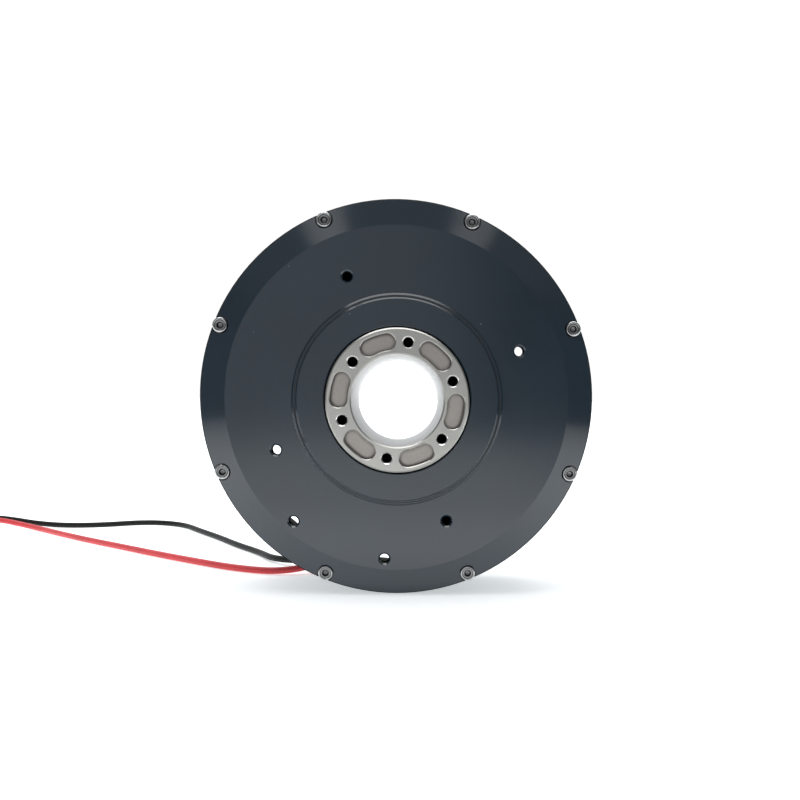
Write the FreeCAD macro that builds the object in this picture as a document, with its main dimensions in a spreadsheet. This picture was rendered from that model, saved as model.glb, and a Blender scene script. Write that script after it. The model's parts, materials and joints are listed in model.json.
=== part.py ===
import FreeCAD, Part
import Sketcher
import math
import os

V = FreeCAD.Vector

# ---------------------------------------------------------------------------
# Hollow-shaft robot joint actuator, direct drive, integrated driver.
# Axis of rotation: Y.  Front (output) side faces -Y, +Z is up.
# Origin: on the axis, in the plane of the flat front mounting face (y = 0).
# All lengths are millimetres, all angles degrees, measured from +X towards +Z.
# ---------------------------------------------------------------------------

DIMS = [
    # housing, outside
    ("disc_rad", 51.0), ("face_rad", 44.1), ("rim_drop", 3.0), ("rim_break", 0.25),
    ("cover_back", 8.0), ("web_thick", 4.0), ("frame_back", 26.0), ("rear_back", 30.0),
    ("wall_in", 46.3), ("spigot_wall", 0.85), ("spigot_len", 1.0), ("fit_gap", 0.05),
    # front boss and groove
    ("hub_hole_rad", 18.8), ("boss_rad", 25.7), ("boss_rise", 1.0), ("groove_in", 26.1),
    ("groove_out", 26.5), ("groove_floor", 0.1), ("land_out", 26.7), ("land_rise", 0.5),
    ("land_foot", 27.2),
    # front fasteners and holes
    ("rim_screw_pos", 49.1), ("rim_screws", 8), ("rim_screw_phase", 22.5),
    ("cbore_rad", 2.3), ("cbore_floor", 3.9), ("head_rad", 1.98), ("head_high", 2.0),
    ("screw_rad", 1.0), ("screw_hole", 1.03), ("screw_len", 8.0), ("hex_af", 1.5), ("hex_deep", 1.0),
    ("mount_pos", 33.75), ("mount_tap", 1.25), ("mount_sink", 1.65), ("mount_phase", 22.5),
    ("vent_pos", 41.3), ("vent_rad", 1.25), ("vent_sink", 1.65), ("vent_mid", 247.5), ("vent_half", 18.0),
    # output hub
    ("hub_rad", 18.45), ("hub_face", -1.5), ("hub_back", 1.9), ("step_rad", 17.0),
    ("bear_front", 4.5), ("journal_rad", 14.98), ("bore_rad", 11.8), ("sleeve_rad", 12.98),
    ("sleeve_seat", 13.0), ("sleeve_start", 30.5), ("shaft_end", 35.5), ("sleeve_end", 41.8),
    ("hub_pcd_rad", 15.0), ("hub_tap", 1.25), ("hub_sink", 1.6), ("hub_hole_deep", 5.5),
    ("hub_phase", 19.7), ("pocket_pos", 15.1), ("pocket_half_w", 2.15), ("pocket_half_ang", 9.2),
    ("pocket_deep", 1.3), ("pocket_edge", 0.25),
    # bearings 30 x 42 x 7
    ("bear_in", 15.0), ("bear_out", 21.0), ("bear_wide", 7.0), ("race_in", 17.0), ("race_out", 19.0),
    ("ball_rad", 1.75), ("ball_track", 18.0), ("balls", 22), ("rear_bear", 25.5),
    ("seat_wall", 24.0), ("seat_front_end", 12.6),
    # motor
    ("stack_front", 14.0), ("stack_back", 24.0), ("stator_out", 31.8), ("stator_in", 25.8),
    ("yoke_in", 30.3), ("slots", 24), ("tooth_w", 2.6), ("tip_w", 5.2), ("tip_high", 0.8),
    ("coil_over", 2.2), ("poles", 28), ("iron_in", 22.0), ("iron_out", 23.6), ("magnet_out", 25.4),
    ("carrier_out", 33.2), ("carrier_front", 9.2), ("rib_front", 16.0), ("rib_w", 4.0),
    # driver can
    ("can_rad", 30.0), ("can_wall", 1.6), ("can_back", 41.6), ("can_floor", 40.0), ("can_hole", 14.2),
    ("board_front", 35.8), ("board_back", 37.4), ("board_in", 16.8), ("board_out", 28.1),
    ("post_pos", 25.8), ("post_phase", 0.0),
    # leads
    ("lead_dia", 2.0), ("lead_ang", 247.5), ("lead_y", 33.0), ("lead_side", 1.5), ("floor_z", -51.0),
]

doc = FreeCAD.newDocument("actuator")
sheet = doc.addObject("Spreadsheet::Sheet", "Dims")
for i, (name, value) in enumerate(DIMS):
    row = i + 1
    sheet.set("A%d" % row, name)
    sheet.set("B%d" % row, "%g" % value)
    sheet.setAlias("B%d" % row, name)
doc.recompute()


class Q:
    """A length with its spreadsheet formula."""

    def __init__(self, value, text):
        self.value = float(value)
        self.text = text

    def _other(self, o):
        return o if isinstance(o, Q) else Q(o, "%.6g" % o)

    def __add__(self, o):
        o = self._other(o)
        return Q(self.value + o.value, "(%s + %s)" % (self.text, o.text))

    def __sub__(self, o):
        o = self._other(o)
        return Q(self.value - o.value, "(%s - %s)" % (self.text, o.text))

    def __mul__(self, k):
        return Q(self.value * k, "(%s * %.6g)" % (self.text, k))

    def __neg__(self):
        return Q(-self.value, "(0 - %s)" % self.text)


def d(name):
    return Q(getattr(sheet, name), "Dims." + name)


def num(name):
    return float(getattr(sheet, name))


def q(x):
    return x if isinstance(x, Q) else Q(x, "%.6g" % x)


NODES = []          # (object, node name)


def keep(obj, name):
    obj.Label = name
    NODES.append((obj, name))
    return obj


def bind(obj, prop, value):
    value = q(value)
    if "Dims." in value.text:
        obj.setExpression(prop, value.text)
    else:
        setattr(obj, prop, value.value)


# ---- PartDesign helpers ----------------------------------------------------

def new_body(name):
    body = doc.addObject("PartDesign::Body", name + "_body")
    body.AllowCompound = True
    return body


def plane(body, role):
    for f in body.Origin.OriginFeatures:
        if f.Role == role:
            return f
    raise RuntimeError("no " + role)


def sketch_on(body, role, name, offset=None):
    sk = body.newObject("Sketcher::SketchObject", name)
    sk.AttachmentSupport = [(plane(body, role), "")]
    sk.MapMode = "FlatFace"
    if offset is not None:
        # the XZ plane's normal is -Y, so a height y is an offset of -y
        bind_offset(sk, offset)
    return sk


def bind_offset(sk, y):
    y = q(y)
    sk.AttachmentOffset = FreeCAD.Placement(V(0, 0, -y.value), FreeCAD.Rotation())
    if "Dims." in y.text:
        sk.setExpression("AttachmentOffset.Base.z", "0 - " + y.text)


def polygon(sk, pts):
    """Closed polygon, every corner tied to the origin by its formula."""
    pts = [(q(a), q(b)) for a, b in pts]
    n = len(pts)
    first = sk.GeometryCount
    for i in range(n):
        a, b = pts[i], pts[(i + 1) % n]
        sk.addGeometry(Part.LineSegment(V(a[0].value, a[1].value, 0), V(b[0].value, b[1].value, 0)), False)
    for i in range(n):
        sk.addConstraint(Sketcher.Constraint("Coincident", first + i, 2, first + (i + 1) % n, 1))
    for i in range(n):
        for kind, c in (("DistanceX", pts[i][0]), ("DistanceY", pts[i][1])):
            k = sk.addConstraint(Sketcher.Constraint(kind, -1, 1, first + i, 1, c.value))
            if "Dims." in c.text:
                sk.setExpression("Constraints[%d]" % k, c.text)


def circle(sk, x, z, rad):
    x, z, rad = q(x), q(z), q(rad)
    g = sk.addGeometry(Part.Circle(V(x.value, z.value, 0), V(0, 0, 1), rad.value), False)
    k = sk.addConstraint(Sketcher.Constraint("Radius", g, rad.value))
    if "Dims." in rad.text:
        sk.setExpression("Constraints[%d]" % k, rad.text)
    for kind, c in (("DistanceX", x), ("DistanceY", z)):
        k = sk.addConstraint(Sketcher.Constraint(kind, -1, 1, g, 3, c.value))
        if "Dims." in c.text:
            sk.setExpression("Constraints[%d]" % k, c.text)
    return g


def revolve(body, name, pts, cut=False):
    sk = sketch_on(body, "XY_Plane", name + "_profile")
    polygon(sk, pts)
    kind = "PartDesign::Groove" if cut else "PartDesign::Revolution"
    rev = body.newObject(kind, name)
    rev.Profile = sk
    rev.ReferenceAxis = (sk, ["V_Axis"])
    rev.Angle = 360.0
    doc.recompute()
    return rev


def cut_along(body, name, sk, depth, away=True):
    """Pocket from the sketch plane towards +Y (away) or -Y."""
    p = body.newObject("PartDesign::Pocket", name)
    p.Profile = sk
    bind(p, "Length", depth)
    p.Reversed = not away
    doc.recompute()
    return p


def pad_along(body, name, sk, length, away=True):
    p = body.newObject("PartDesign::Pad", name)
    p.Profile = sk
    bind(p, "Length", length)
    p.Reversed = away
    doc.recompute()
    return p


def around(body, name, feats, count, angle=360.0):
    pat = body.newObject("PartDesign::PolarPattern", name)
    pat.Originals = feats
    for f in body.Origin.OriginFeatures:
        if f.Role == "Y_Axis":
            pat.Axis = (f, [""])
    if isinstance(count, Q):
        pat.setExpression("Occurrences", count.text)
    else:
        pat.Occurrences = count
    pat.Angle = angle
    body.Tip = pat
    doc.recompute()
    return pat


def polar(rad, ang):
    return rad * math.cos(math.radians(ang)), rad * math.sin(math.radians(ang))


def at(rad, ang):
    """Formulas of a point at a radius and an angle."""
    r, a = q(rad), q(ang)
    c, s = math.cos(math.radians(a.value)), math.sin(math.radians(a.value))
    return (Q(r.value * c, "(%s * cos(%s * 1deg))" % (r.text, a.text)),
            Q(r.value * s, "(%s * sin(%s * 1deg))" % (r.text, a.text)))


def sector(sk, r0, r1, half, mid, corner=None):
    """Closed ring sector between two concentric arcs; the ends are straight
    radial lines, or full round where corner is 'round'."""
    r0, r1 = q(r0), q(r1)
    a0, a1 = math.radians(mid - half), math.radians(mid + half)
    zero = V(0, 0, 0)
    up = V(0, 0, 1)
    p = lambda r, a: V(r * math.cos(a), r * math.sin(a), 0)
    g_in = sk.addGeometry(Part.ArcOfCircle(Part.Circle(zero, up, r0.value), a0, a1), False)
    g_out = sk.addGeometry(Part.ArcOfCircle(Part.Circle(zero, up, r1.value), a0, a1), False)
    for g, r in ((g_in, r0), (g_out, r1)):
        sk.addConstraint(Sketcher.Constraint("Coincident", g, 3, -1, 1))
        k = sk.addConstraint(Sketcher.Constraint("Radius", g, r.value))
        if "Dims." in r.text:
            sk.setExpression("Constraints[%d]" % k, r.text)
    if corner == "round":
        rm, w = (r0.value + r1.value) / 2, (r1.value - r0.value) / 2
        ends = []
        for a, s0 in ((a1, 0), (a0, math.pi)):
            c = p(rm, a)
            g = sk.addGeometry(Part.ArcOfCircle(Part.Circle(c, up, w), a + s0, a + s0 + math.pi), False)
            ends.append(g)
        sk.addConstraint(Sketcher.Constraint("Coincident", ends[0], 1, g_out, 2))
        sk.addConstraint(Sketcher.Constraint("Coincident", ends[0], 2, g_in, 2))
        sk.addConstraint(Sketcher.Constraint("Coincident", ends[1], 1, g_in, 1))
        sk.addConstraint(Sketcher.Constraint("Coincident", ends[1], 2, g_out, 1))
    else:
        e1 = sk.addGeometry(Part.LineSegment(p(r0.value, a1), p(r1.value, a1)), False)
        e0 = sk.addGeometry(Part.LineSegment(p(r0.value, a0), p(r1.value, a0)), False)
        sk.addConstraint(Sketcher.Constraint("Coincident", e1, 1, g_in, 2))
        sk.addConstraint(Sketcher.Constraint("Coincident", e1, 2, g_out, 2))
        sk.addConstraint(Sketcher.Constraint("Coincident", e0, 1, g_in, 1))
        sk.addConstraint(Sketcher.Constraint("Coincident", e0, 2, g_out, 1))


def ring(name, r0, r1, y0, y1, edge=0.0):
    """A plain turned ring with broken edges."""
    body = new_body(name)
    r0, r1, y0, y1 = q(r0), q(r1), q(y0), q(y1)
    if edge:
        pts = [(r0, y0 + edge), (r0 + edge, y0), (r1 - edge, y0), (r1, y0 + edge),
               (r1, y1 - edge), (r1 - edge, y1), (r0 + edge, y1), (r0, y1 - edge)]
    else:
        pts = [(r0, y0), (r1, y0), (r1, y1), (r0, y1)]
    revolve(body, name + "_turned", pts)
    return keep(body, name)


# ---------------------------------------------------------------------------
# Front cover: turned black aluminium, flat mounting face at y = 0, raised boss
# round the output hub, coned rim, eight counterbores open through the rim.
# ---------------------------------------------------------------------------
fc = new_body("front_cover")
drop = num("rim_drop")
revolve(fc, "cover_turned", [
    (d("hub_hole_rad"), -d("boss_rise") + 0.25), (d("hub_hole_rad") + 0.25, -d("boss_rise")),
    (d("boss_rad"), -d("boss_rise")), (d("groove_in"), -d("boss_rise") + 0.4),
    (d("groove_in"), d("groove_floor")), (d("groove_out"), d("groove_floor")),
    (d("groove_out"), -d("land_rise")), (d("land_out"), -d("land_rise")),
    (d("land_foot"), 0.0), (d("face_rad"), 0.0),
    (d("disc_rad") - d("rim_break"), d("rim_drop") - 0.1), (d("disc_rad"), d("rim_drop") + d("rim_break")),
    (d("disc_rad"), d("cover_back")),
    (d("wall_in") - d("fit_gap"), d("cover_back")), (d("wall_in") - d("fit_gap"), d("cover_back") + d("spigot_len")),
    (d("wall_in") - d("fit_gap") - 1.6, d("cover_back") + d("spigot_len")), (d("wall_in") - d("fit_gap") - 1.6, d("web_thick")),
    (d("seat_wall") + 0.2, d("web_thick")), (d("seat_wall") + 0.2, d("seat_front_end")),
    (d("bear_out") + 0.02, d("seat_front_end")), (d("bear_out") + 0.02, d("bear_front") + d("bear_wide") + 0.6),
    (d("bear_out") + 0.6, d("bear_front") + d("bear_wide") + 0.6), (d("bear_out") + 0.6, d("bear_front") + d("bear_wide")),
    (d("bear_out") + 0.02, d("bear_front") + d("bear_wide")), (d("bear_out") + 0.02, d("bear_front")),
    (d("hub_hole_rad"), d("bear_front")), (d("hub_hole_rad"), 3.7), (19.8, 3.7), (19.8, 2.3), (d("hub_hole_rad"), 2.3)])

sk = sketch_on(fc, "XZ_Plane", "rim_cbore_sketch", -1.0)
circle(sk, *at(d("rim_screw_pos"), d("rim_screw_phase")), d("cbore_rad"))
cb = cut_along(fc, "rim_cbore", sk, d("cbore_floor") + 1.0)
sk = sketch_on(fc, "XZ_Plane", "rim_hole_sketch", -1.0)
circle(sk, *at(d("rim_screw_pos"), d("rim_screw_phase")), d("screw_hole"))
rh = cut_along(fc, "rim_hole", sk, 12.0)
around(fc, "rim_hole_pattern", [cb, rh], d("rim_screws"))

sk = sketch_on(fc, "XZ_Plane", "mount_hole_sketch", -1.0)
circle(sk, *at(d("mount_pos"), d("mount_phase")), d("mount_tap"))
mh = cut_along(fc, "mount_hole", sk, 6.0)
# 90 degree countersink of the tapped hole, as a coned groove about its own axis
mx, mz = polar(num("mount_pos"), num("mount_phase"))
around(fc, "mount_hole_pattern", [mh], 4)
for k, ang in enumerate((num("vent_mid") - num("vent_half"), num("vent_mid") + num("vent_half"))):
    sk = sketch_on(fc, "XZ_Plane", "side_hole_sketch%d" % k, -1.0)
    circle(sk, *at(d("vent_pos"), q(ang)), d("vent_rad"))
    vh = cut_along(fc, "side_hole%d" % k, sk, 6.0)
    fc.Tip = vh
doc.recompute()


def sink_tool(name, pos, ang, rad, tap, y_face):
    """Cone that breaks the edge of a hole."""
    cone = doc.addObject("Part::Cone", name)
    # from the face inwards the radius falls from rad to tap
    cone.setExpression("Radius1", (q(rad) + 0.2).text)
    cone.setExpression("Radius2", q(tap).text)
    cone.setExpression("Height", (q(rad) - q(tap) + 0.2).text)
    x, z = polar(q(pos).value, ang)
    cone.Placement = FreeCAD.Placement(V(x, y_face - 0.2, z), FreeCAD.Rotation(V(1, 0, 0), -90))
    return cone


cones = []
for k in range(4):
    cones.append(sink_tool("mount_sink%d" % k, d("mount_pos"), num("mount_phase") + 90 * k, d("mount_sink"), d("mount_tap"), 0.0))
for k, s in enumerate((-1, 1)):
    cones.append(sink_tool("side_sink%d" % k, d("vent_pos"), num("vent_mid") + s * num("vent_half"), d("vent_sink"), d("vent_rad"), 0.0))
dowel_holes = []
for k, ang in enumerate((0.0, 180.0)):
    c = doc.addObject("Part::Cylinder", "dowel_hole_f%d" % k)
    c.Radius, c.Height = 1.02, 3.0
    x, z = polar(48.6, ang)
    c.Placement = FreeCAD.Placement(V(x, 5.0, z), FreeCAD.Rotation(V(1, 0, 0), -90))
    dowel_holes.append(c)
mf = doc.addObject("Part::MultiFuse", "front_cover_tools")
mf.Shapes = cones + dowel_holes
fcut = doc.addObject("Part::Cut", "front_cover_cut")
fcut.Base = fc
fcut.Tool = mf
doc.recompute()
keep(fcut, "front_cover")


def chamfer_edges(body, name, base, size, pick):
    """Chamfer on the edges of a feature that the test picks."""
    names = []
    for i, e in enumerate(base.Shape.Edges):
        if pick(e):
            names.append("Edge%d" % (i + 1))
    ch = body.newObject("PartDesign::Chamfer", name)
    ch.Base = (base, names)
    ch.Size = size
    doc.recompute()
    return ch, len(names)


def pins_along_y(rad, y0, y1, pos, angles):
    """Cylinders parallel to the axis."""
    out = []
    for a in angles:
        x, z = polar(pos, a)
        out.append(Part.makeCylinder(rad, y1 - y0, V(x, y0, z), V(0, 1, 0)))
    return out


def block(r0, r1, width, y0, y1, ang, side=0.0, edge=0.0):
    """Box whose local X is radial at the given angle; side shifts it along the tangent."""
    b = Part.makeBox(r1 - r0, y1 - y0, width, V(r0, y0, -width / 2.0 + side))
    if edge:
        b = b.makeFillet(edge, b.Edges)
    b.rotate(V(0, 0, 0), V(0, 1, 0), -ang)
    return b


def feature(name, shape):
    f = doc.addObject("Part::Feature", name)
    at_home = FreeCAD.Placement(shape.Placement)
    f.Shape = shape
    f.Placement = at_home
    return keep(f, name)


def group(name, solids):
    return feature(name, Part.makeCompound(solids))


def cut_all(shape, tools):
    for t in tools:
        shape = shape.cut(t)
    return shape


# ---------------------------------------------------------------------------
# Middle frame: outer wall, inner motor carrier and the ribs between them.
# ---------------------------------------------------------------------------
RIBS = (67.5, 112.5, 157.5, 247.5, 292.5, 337.5)
mfb = new_body("middle_frame")
sk = sketch_on(mfb, "XY_Plane", "frame_walls")
polygon(sk, [(d("wall_in"), d("cover_back")), (d("disc_rad") - 0.2, d("cover_back")), (d("disc_rad"), d("cover_back") + 0.2),
             (d("disc_rad"), d("frame_back") - 0.2), (d("disc_rad") - 0.2, d("frame_back")), (d("wall_in"), d("frame_back"))])
polygon(sk, [(d("stator_out") + d("fit_gap"), d("carrier_front")), (d("carrier_out"), d("carrier_front")),
             (d("carrier_out"), d("frame_back")), (d("stator_out") + d("fit_gap"), d("frame_back"))])
rev = mfb.newObject("PartDesign::Revolution", "frame_turned")
rev.Profile = sk
rev.ReferenceAxis = (sk, ["V_Axis"])
rev.Angle = 360.0
doc.recompute()
sk = sketch_on(mfb, "XZ_Plane", "rib_sketch", d("rib_front"))
for a in RIBS:
    w = d("rib_w") * 0.5
    ax, az = at(d("carrier_out") - 0.6, a)
    bx, bz = at(d("wall_in") + 0.6, a)
    tx, tz = at(w, a + 90.0)
    polygon(sk, [(ax - tx, az - tz), (bx - tx, bz - tz), (bx + tx, bz + tz), (ax + tx, az + tz)])
ribs = pad_along(mfb, "ribs", sk, d("frame_back") - d("rib_front"))
sk = sketch_on(mfb, "XZ_Plane", "frame_hole_sketch", d("cover_back") - 1.0)
circle(sk, *at(d("rim_screw_pos"), d("rim_screw_phase")), d("screw_hole"))
fh = cut_along(mfb, "frame_hole", sk, 22.0)
around(mfb, "frame_hole_pattern", [fh], d("rim_screws"))
dh = doc.addObject("Part::Feature", "frame_dowel_tool")
relief_in = num("wall_in") - num("fit_gap") - num("spigot_wall") - 0.1
relief_y, relief_len = num("frame_back") - num("spigot_len") - 0.1, num("spigot_len") + 0.6
relief = Part.makeCylinder(num("wall_in"), relief_len, V(0, relief_y, 0), V(0, 1, 0)).cut(
    Part.makeCylinder(relief_in, relief_len, V(0, relief_y, 0), V(0, 1, 0)))
dh.Shape = Part.makeCompound(pins_along_y(1.02, 7.0, 11.2, 48.6, (0.0, 180.0)) + [relief])
mcut = doc.addObject("Part::Cut", "middle_frame_cut")
mcut.Base, mcut.Tool = mfb, dh
doc.recompute()
keep(mcut, "middle_frame")

# ---------------------------------------------------------------------------
# Rear cover: plate with vent windows and the rear bearing seat.
# ---------------------------------------------------------------------------
rc = new_body("rear_cover")
rb = d("rear_bear")
revolve(rc, "rear_turned", [
    (d("bear_out") + 0.02, rb - 0.3), (d("seat_wall"), rb - 0.3), (d("seat_wall"), d("frame_back") + 1.0),
    (d("carrier_out") - 1.35, d("frame_back") + 1.0), (d("carrier_out") - 1.35, d("frame_back")),
    (d("wall_in") - d("fit_gap") - d("spigot_wall"), d("frame_back")), (d("wall_in") - d("fit_gap") - d("spigot_wall"), d("frame_back") - d("spigot_len")),
    (d("wall_in") - d("fit_gap"), d("frame_back") - d("spigot_len")), (d("wall_in") - d("fit_gap"), d("frame_back")),
    (d("disc_rad"), d("frame_back")), (d("disc_rad"), d("rear_back") - 0.6), (d("disc_rad") - 0.6, d("rear_back")),
    (d("seat_wall"), d("rear_back")), (d("seat_wall"), rb + d("bear_wide") + 0.8), (d("race_out") + 0.2, rb + d("bear_wide") + 0.8),
    (d("race_out") + 0.2, rb + d("bear_wide")), (d("bear_out") + 0.02, rb + d("bear_wide"))])
sk = sketch_on(rc, "XZ_Plane", "vent_sketch", d("frame_back") - 2.0)
sector(sk, 37.0, d("wall_in"), 6.75, 45.0)
vw = cut_along(rc, "vent", sk, 8.0)
around(rc, "vent_pattern", [vw], 8)
sk = sketch_on(rc, "XZ_Plane", "sight_sketch", d("frame_back") - 2.0)
sector(sk, 35.5, 44.4, 6.75, num("mount_phase"))
sw = cut_along(rc, "sight", sk, 8.0)
around(rc, "sight_pattern", [sw], 2)
sk = sketch_on(rc, "XZ_Plane", "rear_cbore_sketch", d("rear_back") - 2.0)
circle(sk, *at(d("rim_screw_pos"), d("rim_screw_phase")), d("cbore_rad"))
rcb = cut_along(rc, "rear_cbore", sk, 4.0)
sk = sketch_on(rc, "XZ_Plane", "rear_hole_sketch", d("frame_back") - 1.0)
circle(sk, *at(d("rim_screw_pos"), d("rim_screw_phase")), d("screw_hole"))
rch = cut_along(rc, "rear_hole", sk, 6.0)
around(rc, "rear_hole_pattern", [rcb, rch], d("rim_screws"))
POSTS = tuple(num("post_phase") + 90.0 * k for k in range(4))
PHASES = (36.0, 50.0, 64.0)
sk = sketch_on(rc, "XZ_Plane", "post_hole_sketch", d("rear_back") - 2.0)
circle(sk, *at(d("post_pos"), d("post_phase") + 0.0), 1.03)
pth = cut_along(rc, "post_hole", sk, 3.0)
around(rc, "post_hole_pattern", [pth], 4)
sk = sketch_on(rc, "XZ_Plane", "phase_hole_sketch", d("frame_back"))
for a in PHASES:
    circle(sk, *at(26.6, a), 1.55)
phh = cut_along(rc, "phase_hole", sk, 6.0)
rc.Tip = phh
doc.recompute()
keep(rc, "rear_cover")

# ---------------------------------------------------------------------------
# Fasteners of the housing
# ---------------------------------------------------------------------------


def cap_screws(name, y_seat, inward, length, pos, angles, head_r, head_h, shank_r, af, hex_deep, edge=0.22):
    """Socket head cap screws; inward is +1 where the shank points to +Y."""
    out = []
    for a in angles:
        x, z = polar(pos, a)
        dirn = V(0, inward, 0)
        back = V(0, -inward, 0)
        head = Part.makeCylinder(head_r, head_h, V(x, y_seat, z), back)
        top = y_seat - inward * head_h
        rim = [e for e in head.Edges if isinstance(e.Curve, Part.Circle) and abs(e.CenterOfMass.y - top) < 1e-6]
        head = head.makeChamfer(edge, rim)
        shank = Part.makeCylinder(shank_r, length, V(x, y_seat, z), dirn)
        tip = [e for e in shank.Edges if isinstance(e.Curve, Part.Circle) and abs(e.CenterOfMass.y - (y_seat + inward * length)) < 1e-6]
        shank = shank.makeChamfer(0.3, tip)
        pts = [V(x + af / math.sqrt(3) * math.cos(math.radians(60 * i + a)), top - inward * 0.01,
                 z + af / math.sqrt(3) * math.sin(math.radians(60 * i + a))) for i in range(7)]
        pts[6] = pts[0]
        sock = Part.Face(Part.makePolygon(pts)).extrude(V(0, inward * (hex_deep + 0.01), 0))
        lead_in = Part.makeCone(af / 2 + 0.22, af / 2 - 0.02, 0.24, V(x, top - inward * 0.001, z), dirn)
        out.append(head.fuse(shank).removeSplitter().cut(sock).cut(lead_in))
    return group(name, out)


RIM = tuple(num("rim_screw_phase") + 45.0 * k for k in range(int(num("rim_screws"))))
cap_screws("front_rim_screws", num("cbore_floor"), 1, num("screw_len"), num("rim_screw_pos"), RIM,
           num("head_rad"), num("head_high"), num("screw_rad"), num("hex_af"), num("hex_deep"))
cap_screws("rear_rim_screws", num("rear_back") - 2.0, -1, num("screw_len"), num("rim_screw_pos"), RIM,
           num("head_rad"), num("head_high") - 0.2, num("screw_rad"), num("hex_af"), num("hex_deep"))
group("dowel_pins", pins_along_y(1.0, 5.1, 11.1, 48.6, (0.0, 180.0)))

# ---------------------------------------------------------------------------
# Bearings: thin-section deep groove, 30 x 42 x 7
# ---------------------------------------------------------------------------


def bearing(prefix, y0):
    w = num("bear_wide")
    ym = y0 + w / 2
    track, groove = num("ball_track"), num("ball_rad") + 0.15
    for part, r0, r1 in (("outer", num("race_out"), num("bear_out")), ("inner", num("bear_in"), num("race_in"))):
        b = new_body("%s_bearing_%s" % (prefix, part))
        revolve(b, "%s_%s_ring" % (prefix, part), [(r0, y0 + 0.25), (r0 + 0.25, y0), (r1 - 0.25, y0), (r1, y0 + 0.25),
                                                   (r1, y0 + w - 0.25), (r1 - 0.25, y0 + w), (r0 + 0.25, y0 + w), (r0, y0 + w - 0.25)])
        sk = sketch_on(b, "XY_Plane", "%s_%s_track" % (prefix, part))
        circle(sk, d("ball_track"), ym, groove)
        g = b.newObject("PartDesign::Groove", "%s_%s_groove" % (prefix, part))
        g.Profile = sk
        g.ReferenceAxis = (sk, ["V_Axis"])
        g.Angle = 360.0
        b.Tip = g
        doc.recompute()
        keep(b, "%s_bearing_%s_ring" % (prefix, part))
    n = int(num("balls"))
    ball_r = num("ball_rad") - 0.15
    balls = []
    cage = Part.makeCylinder(18.6, 4.8, V(0, ym - 2.4, 0), V(0, 1, 0)).cut(Part.makeCylinder(17.4, 6, V(0, ym - 3, 0), V(0, 1, 0)))
    holes = []
    for k in range(n):
        a = 360.0 * k / n
        x, z = polar(track, a)
        balls.append(Part.makeSphere(ball_r, V(x, ym, z)))
        hx, hz = polar(16.0, a)
        holes.append(Part.makeCylinder(ball_r + 0.05, 4.0, V(hx, ym, hz), V(math.cos(math.radians(a)), 0, math.sin(math.radians(a)))))
    cage = cage.cut(Part.makeCompound(holes))
    feature("%s_bearing_cage" % prefix, cage)
    group("%s_bearing_balls" % prefix, balls)


bearing("front", num("bear_front"))
bearing("rear", num("rear_bear"))

# internal snap ring behind the front bearing, open at the top
snap = Part.makeCylinder(21.55, 0.5, V(0, 11.55, 0), V(0, 1, 0)).cut(Part.makeCylinder(20.0, 1.0, V(0, 11.3, 0), V(0, 1, 0)))
snap = snap.cut(Part.makeBox(5.0, 2.0, 6.0, V(-2.5, 11.0, 18.0)))
feature("bearing_snap_ring", snap)
# felt dust seal in the groove of the front cover
ring("dust_seal", 17.4, 19.75, 2.35, 3.65)

# ---------------------------------------------------------------------------
# Stator
# ---------------------------------------------------------------------------
sb = new_body("stator_core")
length = d("stack_back") - d("stack_front")
sk = sketch_on(sb, "XZ_Plane", "yoke_sketch", d("stack_front"))
circle(sk, 0.0, 0.0, d("stator_out"))
circle(sk, 0.0, 0.0, d("yoke_in"))
yoke = pad_along(sb, "yoke", sk, length)
sk = sketch_on(sb, "XZ_Plane", "tooth_sketch", d("stack_front"))
hw, tw = d("tooth_w") * 0.5, d("tip_w") * 0.5
tr = d("stator_in") + d("tip_high")
polygon(sk, [(d("stator_in"), -tw), (tr - 0.25, -tw), (tr, -hw), (d("yoke_in") + 0.3, -hw),
             (d("yoke_in") + 0.3, hw), (tr, hw), (tr - 0.25, tw), (d("stator_in"), tw)])
tooth = pad_along(sb, "tooth", sk, length)
around(sb, "tooth_pattern", [tooth], d("slots"))
keep(sb, "stator_core")

n_slots = int(num("slots"))
y0, y1 = num("stack_front"), num("stack_back")
bobbins, coils = [], []
for k in range(n_slots):
    a = 360.0 * k / n_slots
    bob = block(26.75, 30.15, 3.3, y0 - 0.35, y1 + 0.35, a).cut(block(26.0, 31.0, 2.64, y0 - 0.02, y1 + 0.02, a))
    bobbins.append(bob)
    body = Part.makeBox(3.0, (y1 - y0) + 4.6, 5.6, V(26.95, y0 - 2.3, -2.8))
    long_edges = [e for e in body.Edges if abs(e.BoundBox.XLength - 3.0) < 1e-6]
    body = body.makeFillet(1.6, long_edges)
    body.rotate(V(0, 0, 0), V(0, 1, 0), -a)
    coils.append(body.cut(block(26.0, 31.0, 3.4, y0 - 0.4, y1 + 0.4, a)))
group("stator_insulators", bobbins)
group("stator_coils", coils)

# three phase pins from the winding to the driver board, in insulating bushes
group("phase_pins", pins_along_y(0.7, 26.35, 38.2, 26.6, PHASES))
bushes = []
for a in PHASES:
    o = pins_along_y(1.5, 27.0, 30.4, 26.6, (a,))[0]
    bushes.append(o.cut(pins_along_y(0.73, 26.0, 32.0, 26.6, (a,))[0]))
group("phase_bushes", bushes)

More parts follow.
